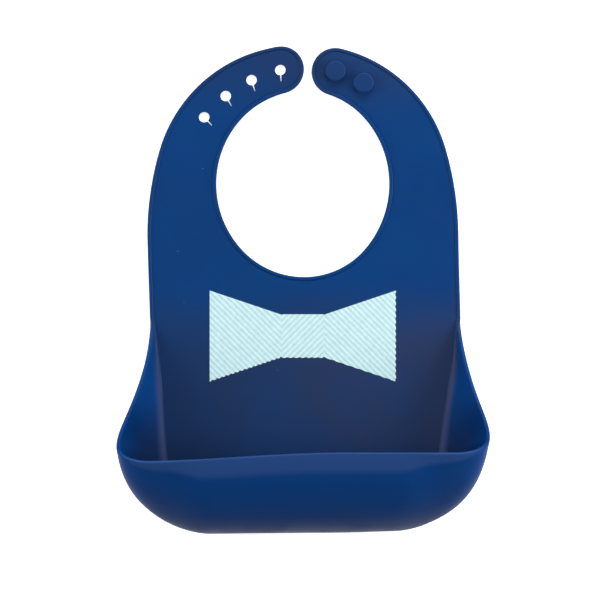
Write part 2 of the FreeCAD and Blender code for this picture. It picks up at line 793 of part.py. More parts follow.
def check_and_export(nodes):
    for obj in doc.Objects:
        if "Invalid" in obj.State or "Error" in obj.State:
            raise RuntimeError(f"{obj.Name} failed: {obj.State}")
    os.makedirs("parts", exist_ok=True)
    for old in os.listdir("parts"):
        if old.endswith(".step"):
            os.remove(os.path.join("parts", old))
    for node in nodes:
        shape = node.Shape
        if shape.isNull() or not shape.isValid() or not shape.Solids or shape.Volume <= 0:
            raise RuntimeError(f"{node.Label} has no sound solid")
        shape.exportStep(f"parts/{node.Label}.step")
        box = shape.BoundBox
        print(
            f"{node.Label:22s} solids {len(shape.Solids):3d}  volume {shape.Volume:9.1f}  "
            f"x {box.XMin:7.2f} {box.XMax:7.2f}  y {box.YMin:7.2f} {box.YMax:7.2f}  "
            f"z {box.ZMin:6.2f} {box.ZMax:6.2f}"
        )


check_and_export(build())
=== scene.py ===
import json
import math

import bmesh
import bpy
import numpy as np
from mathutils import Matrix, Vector
from mathutils.geometry import delaunay_2d_cdt


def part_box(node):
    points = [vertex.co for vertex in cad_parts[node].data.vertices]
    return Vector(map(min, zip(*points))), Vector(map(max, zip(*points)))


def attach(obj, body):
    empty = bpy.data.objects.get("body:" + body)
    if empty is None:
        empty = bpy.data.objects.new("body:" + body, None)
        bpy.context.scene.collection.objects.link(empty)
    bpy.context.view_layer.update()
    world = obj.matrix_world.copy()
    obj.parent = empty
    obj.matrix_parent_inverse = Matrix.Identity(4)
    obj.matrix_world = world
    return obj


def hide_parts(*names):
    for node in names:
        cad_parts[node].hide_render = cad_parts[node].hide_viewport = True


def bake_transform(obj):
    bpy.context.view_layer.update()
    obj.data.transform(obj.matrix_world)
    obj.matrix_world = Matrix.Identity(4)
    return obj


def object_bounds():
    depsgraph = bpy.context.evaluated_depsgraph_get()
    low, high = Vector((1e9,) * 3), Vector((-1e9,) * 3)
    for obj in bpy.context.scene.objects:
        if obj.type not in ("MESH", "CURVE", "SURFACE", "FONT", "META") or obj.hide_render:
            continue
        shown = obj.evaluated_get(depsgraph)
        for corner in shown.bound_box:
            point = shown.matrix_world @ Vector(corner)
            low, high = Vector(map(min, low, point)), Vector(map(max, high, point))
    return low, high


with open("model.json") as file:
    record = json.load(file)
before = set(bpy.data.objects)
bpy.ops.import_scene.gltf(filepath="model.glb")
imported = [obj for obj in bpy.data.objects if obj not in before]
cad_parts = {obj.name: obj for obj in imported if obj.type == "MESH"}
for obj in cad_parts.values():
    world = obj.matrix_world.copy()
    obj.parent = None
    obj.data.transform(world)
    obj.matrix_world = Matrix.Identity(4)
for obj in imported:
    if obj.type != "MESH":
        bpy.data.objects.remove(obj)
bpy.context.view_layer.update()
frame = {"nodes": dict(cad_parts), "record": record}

MM = 0.001
record = frame["record"]
mounts = {mount["name"]: mount for mount in record["mounts"]}
joints = {joint["name"]: joint for joint in record["behaviour"]["joints"]}


def box_mm(node):
    """Lowest and highest corner of a CAD node, in millimetres about the neck's centre in plan."""
    low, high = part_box(node)
    shift = Vector((NECK.x, NECK.y, 0))
    return Vector(low) / MM - shift, Vector(high) / MM - shift


# Places and sizes are in millimetres about the neck opening's centre. Z is 0 on the table.
NECK = Vector(mounts["neck_opening"]["pos_m"]) / MM

SHEET = 2.0
STRIP_WIDTH = 3.0  # the free edge's own strip of faces: the bead and a little of the flat beside it
NECK_HALF_WIDTH = 53.2
NECK_HALF_HEIGHT = 57.4
NECK_SIDE_RADIUS = 61.0
SHOULDER_RADIUS = 192.0
SHOULDER_DROP = 32.6
STRAP_REACH = 31.4
STRAP_OUTER_RADIUS = NECK_HALF_HEIGHT + STRAP_REACH
PANEL_HALF_WIDTH = box_mm("neck_yoke")[1].x
WAIST_INSET = 0.2
WAIST_HALF_WIDTH = PANEL_HALF_WIDTH - WAIST_INSET
WAIST_DROP = 83.0
FLOOR_HALF_WIDTH = 83.2
FLOOR_CORNER = 26.0
FLOOR_DROP = -box_mm("bib_panel")[0].y
FRONT_HALF_LENGTH = box_mm("pocket_front")[1].x
LIP_DROP = 161.8
LIP_CORNER = 8.0
LIP_CORNER_WIDTH = 18.0
POCKET_DEPTH = 48.0
SIDE_SHARE = 0.94  # height of the side's end, as a share of the pocket's depth
RISE_POWER = 1.2
EARLY_RISE = 1.15  # how much faster than that power alone the side's edge rises at first
RIM_HALF_WIDTH = 110.8
EARLY_FLARE = 1.28  # the same for how it widens
RIM_PACE = 0.62  # how fast the corner's stations set out along the rim, against an even pace
CORNER_FULLNESS = 3.4
SIDE_SWELL = 0.6  # the share of it that the side has where it meets the corner
SIDE_SLOPE = math.radians(74.0)  # the steepest that the side's edge gets
SIDE_WIDEST = 0.8  # how far up the wall is widest at the side, as a share of its curve
FRONT_WIDEST = 0.35
FOOT_RISE = math.radians(48.0)  # how steeply the side leaves the crease
FOOT_HANDLE = 0.36  # lengths of the side's curve handles, as shares of its rise
EDGE_HANDLE = 0.45
FRONT_LEAN = math.radians(12.0)
TROUGH_REACH = 37.5
FRONT_REACH = 44.0
# How the soft bib lies on the table.
LEFT_SAG = 5.1
BELLY_SAG = 1.0
BELLY_LIFT = 0.3
WAIST_DRIFT = 1.9
STRAP_DRIFT = 0.75
SLIT_LENGTH = 3.6
SLIT_HALF_WIDTH = 0.4
SLIT_END_HALF_WIDTH = 0.2
SLIT_TILT = math.radians(8.3)
STEP = 1.5  # distance between points along an edge
LATTICE = 4.0  # distance between points inside the flat faces
LATTICE_MARGIN = 0.45 * LATTICE  # the nearest that such a point comes to an edge
WALL_ROWS = 26
FOLD_BELOW = 2.8  # how far the neck fold's bend reaches down the panel


def unit(vector):
    return vector.normalized()


def smooth(t):
    t = max(0.0, min(1.0, t))
    return t * t * (3 - 2 * t)


def fade(value, start, end):
    """0 where value is start, 1 where it is end, smooth between them and level beyond."""
    return smooth((value - start) / (end - start))


def mix(a, b, share):
    return a * (1 - share) + b * share


def bezier(poles, t):
    r = 1 - t
    return poles[0] * r**3 + poles[1] * (3 * r * r * t) + poles[2] * (3 * r * t * t) + poles[3] * t**3


def about_neck(point_m):
    return Vector(point_m) / MM - Vector((NECK.x, NECK.y, 0))


# ---------------------------------------------------------------- outline of the flat sheet
class Side:
    """One half's outline: side is -1 for the strap with holes and 1 for the one with studs."""

    def __init__(self, side, tip):
        self.side = side
        self.tip = tip
        excess = NECK_SIDE_RADIUS - NECK_HALF_HEIGHT
        self.oval_shift = NECK_SIDE_RADIUS - NECK_HALF_WIDTH
        self.oval_rise = (self.oval_shift**2 - excess**2) / (2 * excess)
        self.oval_radius = NECK_HALF_HEIGHT - self.oval_rise
        self.end_radius = (tip - Vector((0, self.oval_rise))).length - self.oval_radius
        self.shoulder = Vector((side * (PANEL_HALF_WIDTH - SHOULDER_RADIUS), -SHOULDER_DROP))
        self.strap = self.strap_centre()

    def strap_centre(self):
        """Centre of the strap's outer arc: tangent to the shoulder's arc and to the strap's round end."""
        near = SHOULDER_RADIUS - STRAP_OUTER_RADIUS
        far = STRAP_OUTER_RADIUS - self.end_radius
        span = self.tip - self.shoulder
        along = (near**2 - far**2 + span.length**2) / (2 * span.length)
        across = math.sqrt(near**2 - along**2)
        way = unit(span)
        return self.shoulder + way * along + Vector((-way.y, way.x)) * across * -self.side

    def edge(self):
        """Points from the waist to the middle of the neck's bottom, each with its inward normal."""
        s = self.side
        waist = Vector((s * WAIST_HALF_WIDTH, -WAIST_DROP))
        top = Vector((s * PANEL_HALF_WIDTH, -SHOULDER_DROP))
        rise, shift = Vector((0, self.oval_rise)), Vector((-s * self.oval_shift, 0))
        to_strap = unit(self.strap - self.shoulder)
        to_tip = unit(self.tip - self.strap)
        to_end = unit(self.tip - rise)
        to_oval = unit(rise - shift)
        below = Vector((to_oval.x, -to_oval.y))
        points = line(waist, top, Vector((-s, 0)))
        points += arc(self.shoulder, SHOULDER_RADIUS, Vector((s, 0)), to_strap, -1)
        points += arc(self.strap, STRAP_OUTER_RADIUS, to_strap, to_tip, -1)
        points += arc(self.tip, self.end_radius, to_tip, -to_end, -1, s)
        points += arc(rise, self.oval_radius, to_end, to_oval, 1)
        points += arc(shift, NECK_SIDE_RADIUS, to_oval, below, 1)
        points += arc(-rise, self.oval_radius, below, Vector((0, -1)), 1)
        return points


def line(start, end, inward):
    count = max(1, round((end - start).length / STEP))
    return [(mix(start, end, i / count), inward) for i in range(count)]


def arc(centre, radius, start, end, inward, turn=0):
    """Points on an arc, without its last. inward is 1 if the material is outside it, else -1.

    turn, if it isn't 0, forces the way round.
    """
    first = math.atan2(start.y, start.x)
    sweep = math.atan2(start.x * end.y - start.y * end.x, start.dot(end))
    if turn and sweep * turn < 0:
        sweep += turn * 2 * math.pi
    count = max(2, round(abs(sweep) * radius / STEP))
    points = []
    for index in range(count):
        angle = first + sweep * index / count
        out = Vector((math.cos(angle), math.sin(angle)))
        points.append((centre + out * radius, out * inward))
    return points


holes = [about_neck(mounts[f"sizing_hole_{i}"]["pos_m"]) for i in (1, 2, 3, 4)]
studs = [sum(box_mm(node), Vector()) / 2 for node in ("stud_outer", "stud_inner")]
left, right = Side(-1, holes[0].xy), Side(1, studs[0].xy)
end_of_neck = Vector((0, -NECK_HALF_HEIGHT))
flat_edge = left.edge() + [(end_of_neck, Vector((0, -1)))] + right.edge()[::-1]

# ---------------------------------------------------------------- the pocket's wall
crease_top = Vector((WAIST_HALF_WIDTH - STRIP_WIDTH, -WAIST_DROP, SHEET))
corner_centre = Vector((FLOOR_HALF_WIDTH - FLOOR_CORNER, FLOOR_CORNER - FLOOR_DROP, SHEET))
to_top = crease_top - corner_centre
corner_start = math.atan2(to_top.y, to_top.x) - math.acos(FLOOR_CORNER / to_top.length)


def crease_corner(turn):
    """The floor's corner arc, from the side for turn 0 to the front for turn 1."""
    angle = corner_start + turn * (-math.pi / 2 - corner_start)
    return corner_centre + Vector((math.cos(angle), math.sin(angle), 0)) * FLOOR_CORNER


def edge_height(along):
    rise = along**RISE_POWER * (EARLY_RISE - (EARLY_RISE - 1) * along**6)
    return SHEET + (SIDE_SHARE * POCKET_DEPTH - SHEET) * rise


def side_station(along):
    """The side wall's crease and edge, with their curve handles. along is 0 to 1 from waist to corner."""
    crease = mix(crease_top, crease_corner(0), along)
    y = -WAIST_DROP + along * (WAIST_DROP - LIP_DROP + LIP_CORNER)
    rise = edge_height(along) - SHEET
    flare = along**2 * (EARLY_FLARE - (EARLY_FLARE - 1) * along**8)
    half_width = mix(WAIST_HALF_WIDTH, RIM_HALF_WIDTH, flare)
    slope = 0.0
    for _ in range(4):
        across = half_width - SHEET * math.sin(slope) - crease.x
        length = max(math.hypot(across, rise), STRIP_WIDTH + 1e-6)
        chord = math.atan2(rise, across) * (2 - STRIP_WIDTH / length)
        slope = SIDE_SLOPE * math.tanh(chord / SIDE_SLOPE)
    edge = Vector((crease.x + across, y, SHEET + rise))
    way = Vector((math.cos(slope), 0, math.sin(slope)))
    return crease, Vector((1, 0, 0)), FOOT_HANDLE * rise, edge, way, EDGE_HANDLE * rise


def front_poles(x):
    """Curve poles of the pocket's front at x."""
    lip = Vector((x, -LIP_DROP, POCKET_DEPTH))
    way = Vector((0, math.cos(FRONT_LEAN), math.sin(FRONT_LEAN)))
    crease = Vector((x, -FLOOR_DROP, SHEET))
    return [crease, crease + Vector((0, -TROUGH_REACH, 0)), lip - way * FRONT_REACH, lip]


def corner_rim(turn):
    """The edge from the side's end, round the lip's corner, to the start of the front."""
    start = side_station(1)[3]
    quarter = math.hypot(LIP_CORNER, LIP_CORNER_WIDTH) * math.pi / math.sqrt(8)
    straight = start.x - LIP_CORNER_WIDTH - FRONT_HALF_LENGTH
    length = (quarter + straight) * (RIM_PACE * turn + (1 - RIM_PACE) * turn**2)
    height = start.z + (POCKET_DEPTH - start.z) * smooth(2 * length / (quarter + straight))
    if length < quarter:
        angle = length / quarter * math.pi / 2
        x = start.x - LIP_CORNER_WIDTH * (1 - math.cos(angle))
        return Vector((x, start.y - LIP_CORNER * math.sin(angle), height))
    return Vector((start.x - LIP_CORNER_WIDTH - (length - quarter), -LIP_DROP, height))


def fullness(turn):
    """How far the corner's wall stands out beyond an ellipse from the side to the front."""
    return CORNER_FULLNESS * fade(turn, 0.75, 0.1)


def foot_way(outward, share):
    """Which way the wall leaves the crease: steeply at the side, level at the front, for share 0 to 1."""
    rise = FOOT_RISE * (1 - share)
    return outward * math.cos(rise) + Vector((0, 0, math.sin(rise)))


def wall_poles(station):
    """Poles of the wall's inner curve, and the way it heads at the edge.

    Stations 0 to 1 are the side, 1 to 2 the corner, and 2 to 3 the front up to its middle.
    """
    if station <= 1:
        crease, outward, reach, edge, way, back = side_station(station)
        push = SIDE_SWELL * fullness(0) * fade(station, 0.7, 1) / (3 * (1 - SIDE_WIDEST) * SIDE_WIDEST**2)
        second = edge - way * max(back, STRIP_WIDTH) + outward * push
        flat = fade(station, 0.65, 0.15)
        return [crease, crease + foot_way(outward, flat) * reach, second, edge], unit(edge - second)
    if station >= 2:
        poles = front_poles(FRONT_HALF_LENGTH * (3 - station))
        return poles, unit(poles[3] - poles[2])
    turn = station - 1
    eased = smooth(turn)
    crease = crease_corner(turn)
    outward = unit(crease - corner_centre)
    edge = corner_rim(turn)
    side_poles, _ = wall_poles(1)
    reach = mix((side_poles[1] - side_poles[0]).length, TROUGH_REACH, eased)
    first = crease + foot_way(outward, eased) * reach
    at = mix(SIDE_WIDEST, FRONT_WIDEST, eased)
    side_point = bezier(side_poles, SIDE_WIDEST)
    front_point = bezier(front_poles(FRONT_HALF_LENGTH), FRONT_WIDEST)
    angle = turn * math.pi / 2
    already = SIDE_SWELL * fullness(0)
    swell = fullness(turn) - already * math.cos(angle) - (fullness(0) - already) * (1 - turn) ** 8
    widest = Vector((
        mix(front_point.x, side_point.x + swell, math.cos(angle)),
        mix(side_point.y, front_point.y - swell, math.sin(angle)),
        mix(side_point.z, front_point.z, eased),
    ))
    fixed = bezier([crease, first, Vector((0, 0, 0)), edge], at)
    second = (widest - fixed) / (3 * (1 - at) * at * at)
    return [crease, first, second, edge], unit(edge - second)


def wall_column(station):
    """Points up the wall's inner face, from the crease to the edge's strip, and the way it heads."""
    poles, way = wall_poles(station)
    poles = poles[:3] + [poles[3] - way * STRIP_WIDTH]
    return [bezier(poles, row / WALL_ROWS) for row in range(WALL_ROWS + 1)], way


def sagged(point, side):
    """The lip hangs a little lower on the left, as it does on a soft bib that lies on a table."""
    x = side * point.x
    drop = LEFT_SAG * fade(x, 25, -100) * fade(point.z, SHEET, POCKET_DEPTH)
    beyond = fade(point.y, -FLOOR_DROP, -FLOOR_DROP - 14)
    drop += beyond * (BELLY_SAG - (BELLY_SAG + BELLY_LIFT) * fade(x, 15, 75))
    return Vector((x, point.y - drop, point.z))


side_steps, corner_steps, front_steps = 46, 48, 36
stations = [i / side_steps for i in range(side_steps)]
stations += [1 + i / corner_steps for i in range(corner_steps)]
stations += [2 + i / front_steps for i in range(front_steps + 1)]


def wall_grid(side):
    """Inner points, normals towards the inside and the edge's headings, station by station."""
    columns, ways = [], []
    for station in stations:
        column, way = wall_column(station)
        columns.append([sagged(p, side) for p in column])
        ways.append(Vector((side * way.x, way.y, way.z)))
    grid = np.array([[p[:] for p in column] for column in columns])
    along = np.gradient(grid, axis=0)
    up = np.gradient(grid, axis=1)
    headings = np.array([way[:] for way in ways])
    up /= np.maximum(np.linalg.norm(up, axis=2, keepdims=True), 1e-9)
    short = 5.0  # below this length a column takes its direction from the edge
    share = np.clip(np.linalg.norm(grid[:, -1] - grid[:, 0], axis=1) / short, 0, 1)[:, None, None]
    up = share * up + (1 - share) * headings[:, None]
    up[:, -1] = headings
    normal = np.cross(along, up) * side
    length = np.linalg.norm(normal, axis=2, keepdims=True)
    normal = normal / np.maximum(length, 1e-9)
    normal[:, 0] = (0, 0, 1)
    normal[0] = (0, 0, 1)
    return grid, normal, headings


# ---------------------------------------------------------------- mesh
# The edge's section: how far in from the edge, and how high above the back face.
SECTION = [
    (3.0, 0.0), (1.2, 0.0), (0.5, 0.02), (0.2, 0.12), (0.04, 0.35), (0.0, 0.7), (0.0, 1.6), (0.05, 2.05),
    (0.22, 2.38), (0.55, 2.56), (1.0, 2.6), (1.5, 2.6), (1.85, 2.56), (2.08, 2.42), (2.2, 2.2), (2.3, 1.95),
    (2.42, 1.83), (2.58, 1.83), (2.74, 1.95), (3.0, 2.0),
]


def draped(x, y, z):
    """The soft sheet lies a little to the right at the waist, and the strap with the holes a little low."""
    aside = WAIST_DRIFT * fade(y, -20, -110) * fade(y, -167, -105)
    down = STRAP_DRIFT * fade(y, 5, 50) * fade(x, 5, -25)
    return x + aside, y - down, z


class Sheet:
    """Collects the skin's faces, each with the piece that it belongs to."""

    def __init__(self):
        self.vertices = []
        self.faces = []
        self.piece = []

    def add(self, points):
        first = len(self.vertices)
        self.vertices += [draped(*p) for p in points]
        return list(range(first, first + len(points)))

    def quads(self, one, other, piece, flip=False):
        for a, b, c, d in zip(one, one[1:], other[1:], other):
            self.faces.append((a, d, c, b) if flip else (a, b, c, d))
            self.piece.append(piece)


def place_of(x, y):
    """Which piece of the skin a flat point belongs to, by the stretch of sheet that it bends with."""
    if y < PANEL_END:
        return "panel"
    if y < YOKE_END:
        return "neck"
    strap = "holes" if x < GAP else "studs"
    angle = math.degrees(math.atan2(abs(x), y))
    root, tip = SPLITS[strap]
    if angle > root:
        return f"{strap}_root"
    return f"{strap}_tip" if angle < tip else f"{strap}_middle"


def flex_angle(joint):
    place = about_neck(joints[joint]["pos_m"])
    return math.degrees(math.atan2(abs(place.x), place.y))


fold_y = about_neck(joints["neck_fold"]["pos_m"]).y
PANEL_END = fold_y - FOLD_BELOW
YOKE_END = -24.0
GAP = (left.tip.x + left.end_radius + right.tip.x - right.end_radius) / 2
SPLITS = {}
for strap in ("holes", "studs"):
    bends = [flex_angle(f"{strap}_strap_curl{end}") for end in ("", "_middle", "_tip")]
    SPLITS[strap] = ((bends[0] + bends[1]) / 2, (bends[1] + bends[2]) / 2)

skin = Sheet()


BEAD_START = 6  # the last point of the section that the bead leaves alone
RIM_BEAD = 0.2  # how much of the bead is left along the pocket's rim


def strip_row(base, inward, up, bead=1.0):
    """One section of the free edge. Less bead makes it stand out less from the sheet's face."""
    heights = [SHEET + (h - SHEET) * bead if i > BEAD_START else h for i, (_, h) in enumerate(SECTION)]
    return [base + inward * d + up * h for (d, _), h in zip(SECTION, heights)]


up = Vector((0, 0, 1))
flat_rows = []
for point, inward in flat_edge:
    flat_rows.append(skin.add(strip_row(point.to_3d(), inward.to_3d(), up)))
last = Vector((WAIST_HALF_WIDTH, -WAIST_DROP, 0))
flat_rows.append(skin.add(strip_row(last, Vector((-1, 0, 0)), up)))
for index in range(len(flat_rows) - 1):
    middle = (flat_edge[index][0] + flat_edge[min(index + 1, len(flat_edge) - 1)][0]) / 2
    skin.quads(flat_rows[index], flat_rows[index + 1], place_of(middle.x, middle.y))

for side in (-1, 1):
    grid, normal, headings = wall_grid(side)
    rim_rows, inner_rows, outer_rows = [], [], []
    for i in range(len(stations)):
        n = Vector(normal[i][-1])
        way = Vector(headings[i])
        n = unit(n - way * n.dot(way))
        top = Vector(grid[i][-1])
        base = top + way * STRIP_WIDTH - n * SHEET
        bead = mix(1.0, RIM_BEAD, fade(stations[i], 0, 0.35))
        rim_rows.append(skin.add(strip_row(base, -way, n, bead)))
        inner_rows.append(skin.add(grid[i]))
        outer_rows.append(skin.add(grid[i] - normal[i] * SHEET))
    for i in range(len(stations) - 1):
        skin.quads(rim_rows[i], rim_rows[i + 1], "pocket", side < 0)
        skin.quads(inner_rows[i], inner_rows[i + 1], "pocket", side > 0)
        skin.quads(outer_rows[i], outer_rows[i + 1], "pocket", side < 0)


def keyhole(centre):
    """Outline of a sizing hole with its slit, with normals that point into the material."""
    radius = mounts["sizing_hole_1"]["dims"]["r_mm"]
    inward = unit(ring_centre - centre.xy)
    cos, sin = math.cos(SLIT_TILT), math.sin(SLIT_TILT)
    along = Vector((inward.x * cos + inward.y * sin, inward.y * cos - inward.x * sin))
    across = Vector((-along.y, along.x))
    start = math.asin(SLIT_HALF_WIDTH / radius)
    points = []
    count = 40
    for i in range(count + 1):
        angle = start + (2 * math.pi - 2 * start) * i / count
        out = along * math.cos(angle) + across * math.sin(angle)
        turn = {0: across, count: -across}.get(i)
        mitre = out if turn is None else (out + turn) / (1 + out.dot(turn))
        points.append((centre.xy + out * radius, mitre))
    end = centre.xy + along * (radius + SLIT_LENGTH)
    steps = 5
    near, far = points[-1][0], end - across * SLIT_END_HALF_WIDTH
    points += [(mix(near, far, i / steps), -across) for i in range(1, steps)]
    for i in range(5):
        angle = -math.pi / 2 + math.pi * i / 4
        out = along * math.cos(angle) + across * math.sin(angle)
        points.append((end + out * SLIT_END_HALF_WIDTH, out))
    near, far = end + across * SLIT_END_HALF_WIDTH, points[0][0]
    points += [(mix(near, far, i / steps), across) for i in range(1, steps)]
    return points


def circle_centre(a, b, c):
    """Centre of the circle through three points."""
    ab, ac = b - a, c - a
    d = 2 * (ab.x * ac.y - ab.y * ac.x)
    x = (ac.y * ab.length_squared - ab.y * ac.length_squared) / d
    y = (ab.x * ac.length_squared - ac.x * ab.length_squared) / d
    return a + Vector((x, y))


ring_centre = circle_centre(holes[0].xy, holes[1].xy, holes[3].xy)
HOLE_EDGE = [(0.45, 0.0), (0.2, 0.0), (0.05, 0.05), (0.0, 0.2)]
HOLE_SECTION = HOLE_EDGE + [(d, SHEET - h) for d, h in reversed(HOLE_EDGE)]
hole_outlines = []
for centre in holes:
    outline = keyhole(centre)
    rows = []
    for point, out in outline:
        rows.append(skin.add([(point + out * d).to_3d() + up * h for d, h in HOLE_SECTION]))
    piece = place_of(centre.x, centre.y)
    for one, other in zip(rows, rows[1:] + rows[:1]):
        skin.quads(one, other, piece)
    hole_outlines.append([point + out * HOLE_SECTION[0][0] for point, out in outline])


def inside(points, polygon):
    """Which of the points lie in a closed polygon."""
    x, y = points[:, 0:1], points[:, 1:2]
    a = np.array(polygon)
    b = np.roll(a, -1, axis=0)
    crosses = (a[:, 1] > y) != (b[:, 1] > y)
    rise = np.where(np.abs(b[:, 1] - a[:, 1]) < 1e-12, 1e-12, b[:, 1] - a[:, 1])
    cut = a[:, 0] + (y - a[:, 1]) * (b[:, 0] - a[:, 0]) / rise
    return (np.sum(crosses & (x < cut), axis=1) % 2) == 1


def fill_flats():
    """Triangles for the flat front and back faces, inside the edge's strip and the crease."""
    rim = [(p + inward * STRIP_WIDTH)[:] for p, inward in flat_edge]
    crease_right = [wall_column(station)[0][0] for station in stations]
    rim += [(p.x, p.y) for p in crease_right]
    rim += [(-p.x, p.y) for p in crease_right[-2:0:-1]]
    loops = [rim] + [[p[:] for p in outline] for outline in hole_outlines]
    low, high = np.min(rim, axis=0), np.max(rim, axis=0)
    lattice = []
    row = 0
    y = low[1]
    while y < high[1]:
        x = low[0] + (row % 2) * LATTICE / 2
        while x < high[0]:
            lattice.append((x, y))
            x += LATTICE
        y += LATTICE * math.sqrt(3) / 2
        row += 1
    lattice = np.array(lattice)
    keep = inside(lattice, rim)
    for outline in loops[1:]:
        keep &= ~inside(lattice, outline)
    lattice = lattice[keep]
    border = np.array([p for loop in loops for p in loop])
    gap = np.array([np.min(np.hypot(border[:, 0] - p[0], border[:, 1] - p[1])) for p in lattice])
    lattice = lattice[gap > LATTICE_MARGIN]
    points = [Vector(p) for p in border] + [Vector(p) for p in lattice]
    edges, start = [], 0
    for loop in loops:
        count = len(loop)
        edges += [(start + i, start + (i + 1) % count) for i in range(count)]
        start += count
    out_points, _, out_faces, _, _, _ = delaunay_2d_cdt(points, edges, [], 0, 1e-5)
    flat = np.array([p[:] for p in out_points])
    centres = np.array([flat[list(face)].mean(axis=0) for face in out_faces])
    keep = inside(centres, rim)
    for outline in loops[1:]:
        keep &= ~inside(centres, outline)
    top = skin.add([(x, y, SHEET) for x, y in flat])
    back = skin.add([(x, y, 0) for x, y in flat])
    for face, centre, wanted in zip(out_faces, centres, keep):
        if wanted:
            piece = place_of(centre[0], centre[1])
            skin.faces.append(tuple(top[i] for i in face))
            skin.faces.append(tuple(back[i] for i in reversed(face)))
            skin.piece += [piece, piece]


fill_flats()


def mesh_object(name, vertices, faces, material):
    mesh = bpy.data.meshes.new(name)
    mesh.from_pydata([(Vector(v) + Vector((NECK.x, NECK.y, 0))) * MM for v in vertices], [], faces)
    obj = bpy.data.objects.new(name, mesh)
    bpy.context.collection.objects.link(obj)
    work = bmesh.new()
    work.from_mesh(mesh)
    bmesh.ops.remove_doubles(work, verts=work.verts, dist=2e-6)
    work.to_mesh(mesh)
    work.free()
    mesh.shade_smooth()
    mesh.materials.append(material)
    return obj


# ---------------------------------------------------------------- materials
def principled(name, colour, roughness, **sockets):
    material = bpy.data.materials.new(name)
    material.use_nodes = True
    shader = material.node_tree.nodes["Principled BSDF"]
    shader.inputs["Base Color"].default_value = (*colour, 1)
    shader.inputs["Roughness"].default_value = roughness
    for socket, value in sockets.items():
        shader.inputs[socket.replace("_", " ")].default_value = value
    return material


def node(tree, kind, **settings):
    made = tree.nodes.new("ShaderNode" + kind)
    for name, value in settings.items():
        if name.startswith("in_"):
            made.inputs[name[3:].replace("_", " ")].default_value = value
        else:
            setattr(made, name, value)
    return made


def noise(tree, scale, detail=2.0):
    """Smooth noise over the object, with its scale in features per metre."""
    place = node(tree, "TexCoord")
    made = node(tree, "TexNoise", in_Scale=scale, in_Detail=detail)
    tree.links.new(place.outputs["Object"], made.inputs["Vector"])
    return made.outputs["Fac"]


def ramp(tree, source, low, high, start, end):
    """Maps source from the range low..high to start..end, with smooth ends."""
    made = node(tree, "MapRange", interpolation_type="SMOOTHSTEP")
    for socket, value in zip(("From Min", "From Max", "To Min", "To Max"), (low, high, start, end)):
        made.inputs[socket].default_value = value
    tree.links.new(source, made.inputs["Value"])
    return made.outputs["Result"]


def math_node(tree, operation, one, other):
    made = node(tree, "Math", operation=operation, use_clamp=True)
    for i, value in enumerate((one, other)):
        if isinstance(value, (int, float)):
            made.inputs[i].default_value = value
        else:
            tree.links.new(value, made.inputs[i])
    return made.outputs[0]


def mix_colours(tree, share, one, other):
    made = node(tree, "Mix", data_type="RGBA")
    tree.links.new(share, made.inputs["Factor"])
    for socket, value in ((6, one), (7, other)):
        if isinstance(value, tuple):
            made.inputs[socket].default_value = (*value, 1)
        else:
            tree.links.new(value, made.inputs[socket])
    return made.outputs[2]


def bump(tree, height, strength, distance):
    made = node(tree, "Bump", in_Strength=strength, in_Distance=distance)
    tree.links.new(height, made.inputs["Height"])
    tree.links.new(made.outputs["Normal"], tree.nodes["Principled BSDF"].inputs["Normal"])


